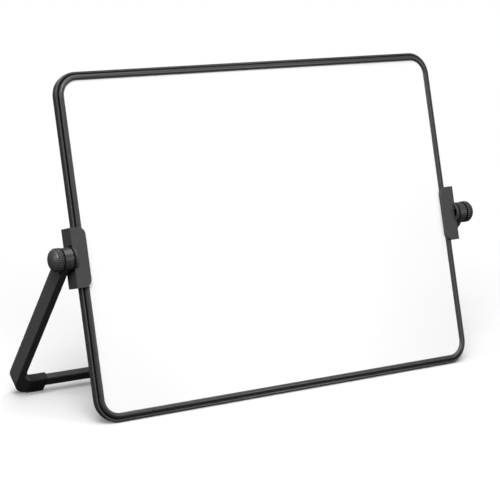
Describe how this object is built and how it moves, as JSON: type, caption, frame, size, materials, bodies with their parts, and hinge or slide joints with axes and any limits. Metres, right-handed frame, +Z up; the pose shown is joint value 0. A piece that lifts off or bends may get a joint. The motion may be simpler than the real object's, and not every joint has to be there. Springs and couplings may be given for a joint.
{
  "type": "desk whiteboard easel",
  "caption": "Double-sided magnetic whiteboard in a dark rounded frame, pivoting between the arms of a U-shaped desk stand and clamped by a knob at each side.",
  "frame": {"origin": "middle of the box that the easel fills on the desk, at desk level", "axes": "+X along the pivot line to the reader's right, +Y away from the reader towards the stand's foot, +Z up"},
  "size_m": [0.4606, 0.1562, 0.2983],
  "materials": {
    "frame_plastic": "satin moulded black",
    "writing_sheet": "gloss white coated steel, takes magnets",
    "core_board": "fibreboard",
    "stand_metal": "satin black powder coat",
    "bracket_plastic": "satin moulded black",
    "screw_steel": "plated steel",
    "insert_brass": "turned brass",
    "washer_plastic": "black nylon",
    "knob_plastic": "satin moulded black, ribbed grip",
    "cap_plastic": "satin-gloss moulded black",
    "eye_plastic": "satin moulded black",
    "bush_plastic": "natural nylon",
    "foot_rubber": "matt black rubber"
  },
  "bodies": {
    "stand": {"cross_bar": "stand_metal", "left_arm": "stand_metal", "right_arm": "stand_metal", "left_arm_eye": "eye_plastic", "right_arm_eye": "eye_plastic", "left_eye_bush": "bush_plastic", "right_eye_bush": "bush_plastic", "left_foot_sleeve": "foot_rubber", "right_foot_sleeve": "foot_rubber"},
    "board": {"front_frame": "frame_plastic", "rear_frame": "frame_plastic", "front_writing_sheet": "writing_sheet", "rear_writing_sheet": "writing_sheet", "core_panel": "core_board", "left_clamp_bracket": "bracket_plastic", "right_clamp_bracket": "bracket_plastic", "left_bracket_screws": "screw_steel", "right_bracket_screws": "screw_steel", "left_thread_insert": "insert_brass", "right_thread_insert": "insert_brass", "left_friction_washer": "washer_plastic", "right_friction_washer": "washer_plastic"},
    "left_washer_slide": {"left_knob_washer": "washer_plastic"},
    "left_knob": {"left_knob_grip": "knob_plastic", "left_knob_cap": "cap_plastic", "left_knob_stud": "screw_steel"},
    "right_washer_slide": {"right_knob_washer": "washer_plastic"},
    "right_knob": {"right_knob_grip": "knob_plastic", "right_knob_cap": "cap_plastic", "right_knob_stud": "screw_steel"}
  },
  "joints": [
    {"name": "board_tilt", "type": "hinge", "parent": "stand", "child": "board", "pos_m": [0, -0.04501, 0.1424], "axis": [1, 0, 0], "continuous": true},
    {"name": "left_knob_travel", "type": "slide", "parent": "board", "child": "left_washer_slide", "axis": [-1, 0, 0], "range_m": [0, 0.002]},
    {"name": "left_knob_turn", "type": "hinge", "parent": "left_washer_slide", "child": "left_knob", "pos_m": [-0.2197, -0.04501, 0.1424], "axis": [-1, 0, 0], "range_deg": [0, 720]},
    {"name": "right_knob_travel", "type": "slide", "parent": "board", "child": "right_washer_slide", "axis": [1, 0, 0], "range_m": [0, 0.002]},
    {"name": "right_knob_turn", "type": "hinge", "parent": "right_washer_slide", "child": "right_knob", "pos_m": [0.2197, -0.04501, 0.1424], "axis": [1, 0, 0], "range_deg": [0, 720]}
  ],
  "couplings": [
    {"joint": "left_knob_travel", "follows": "left_knob_turn", "m_per_rad": 0.000159},
    {"joint": "right_knob_travel", "follows": "right_knob_turn", "m_per_rad": 0.000159}
  ]
}
